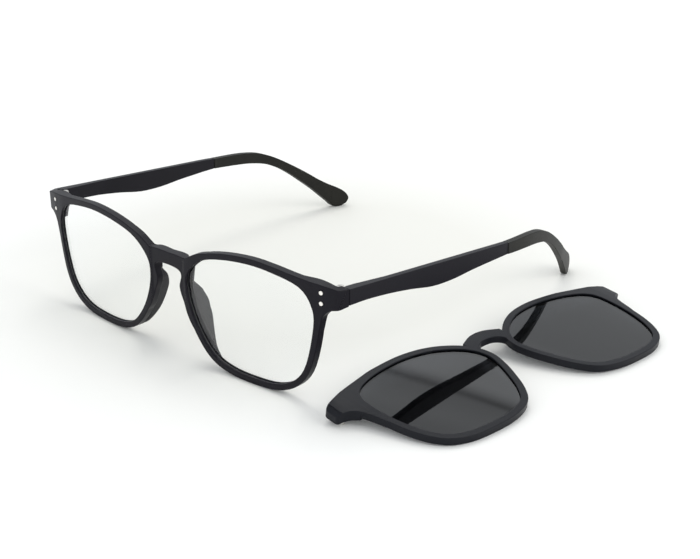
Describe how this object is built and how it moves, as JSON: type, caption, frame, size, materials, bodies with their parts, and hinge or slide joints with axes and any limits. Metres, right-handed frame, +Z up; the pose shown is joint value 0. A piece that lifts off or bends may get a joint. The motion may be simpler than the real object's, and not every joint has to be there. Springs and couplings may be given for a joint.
{
  "type": "clip-on eyeglasses",
  "caption": "Full-rim plastic eyeglasses with clear lenses and folding temples, and beside them a matching magnetic clip-on front with dark lenses.",
  "frame": {"origin": "on the table, at the middle of the box round the glasses and the clip-on lying beside them", "axes": "+X to the wearer's left, along the front; +Y back along the open temples; +Z up from the table"},
  "size_m": [0.1942, 0.1518, 0.0424],
  "materials": {
    "black_plastic": "fine matt black",
    "soft_tip": "soft matt sleeve, slightly warmer black",
    "clear_lens": "clear polished",
    "dark_lens": "dark grey polished",
    "steel": "bright",
    "plated_magnet": "nickel plated"
  },
  "bodies": {
    "front": {"frame_front": "black_plastic", "lens_left": "clear_lens", "lens_right": "clear_lens", "steel_pins_left": "steel", "steel_pins_right": "steel", "hinge_front_leaf_left": "steel", "hinge_front_leaf_right": "steel", "hinge_screw_left": "steel", "hinge_screw_right": "steel"},
    "temple_left": {"temple_left": "black_plastic", "temple_tip_left": "soft_tip", "temple_core_left": "steel", "hinge_temple_leaf_left": "steel"},
    "temple_right": {"temple_right": "black_plastic", "temple_tip_right": "soft_tip", "temple_core_right": "steel", "hinge_temple_leaf_right": "steel"},
    "clip_on": {"clip_frame": "black_plastic", "clip_lens_left": "dark_lens", "clip_lens_right": "dark_lens", "clip_magnets_left": "plated_magnet", "clip_magnets_right": "plated_magnet"}
  },
  "joints": [
    {"name": "temple_left_fold", "type": "hinge", "parent": "front", "child": "temple_left", "pos_m": [0.04355, -0.06314, 0.0362], "axis": [0, 0, 1], "range_deg": [0, 87]},
    {"name": "temple_right_fold", "type": "hinge", "parent": "front", "child": "temple_right", "pos_m": [-0.09035, -0.06314, 0.0362], "axis": [0, 0, -1], "range_deg": [0, 73]},
    {"name": "clip_lift", "type": "slide", "parent": "front", "child": "clip_on", "axis": [0.7071, 0, 0.7071], "range_m": [0, 0.1]}
  ]
}
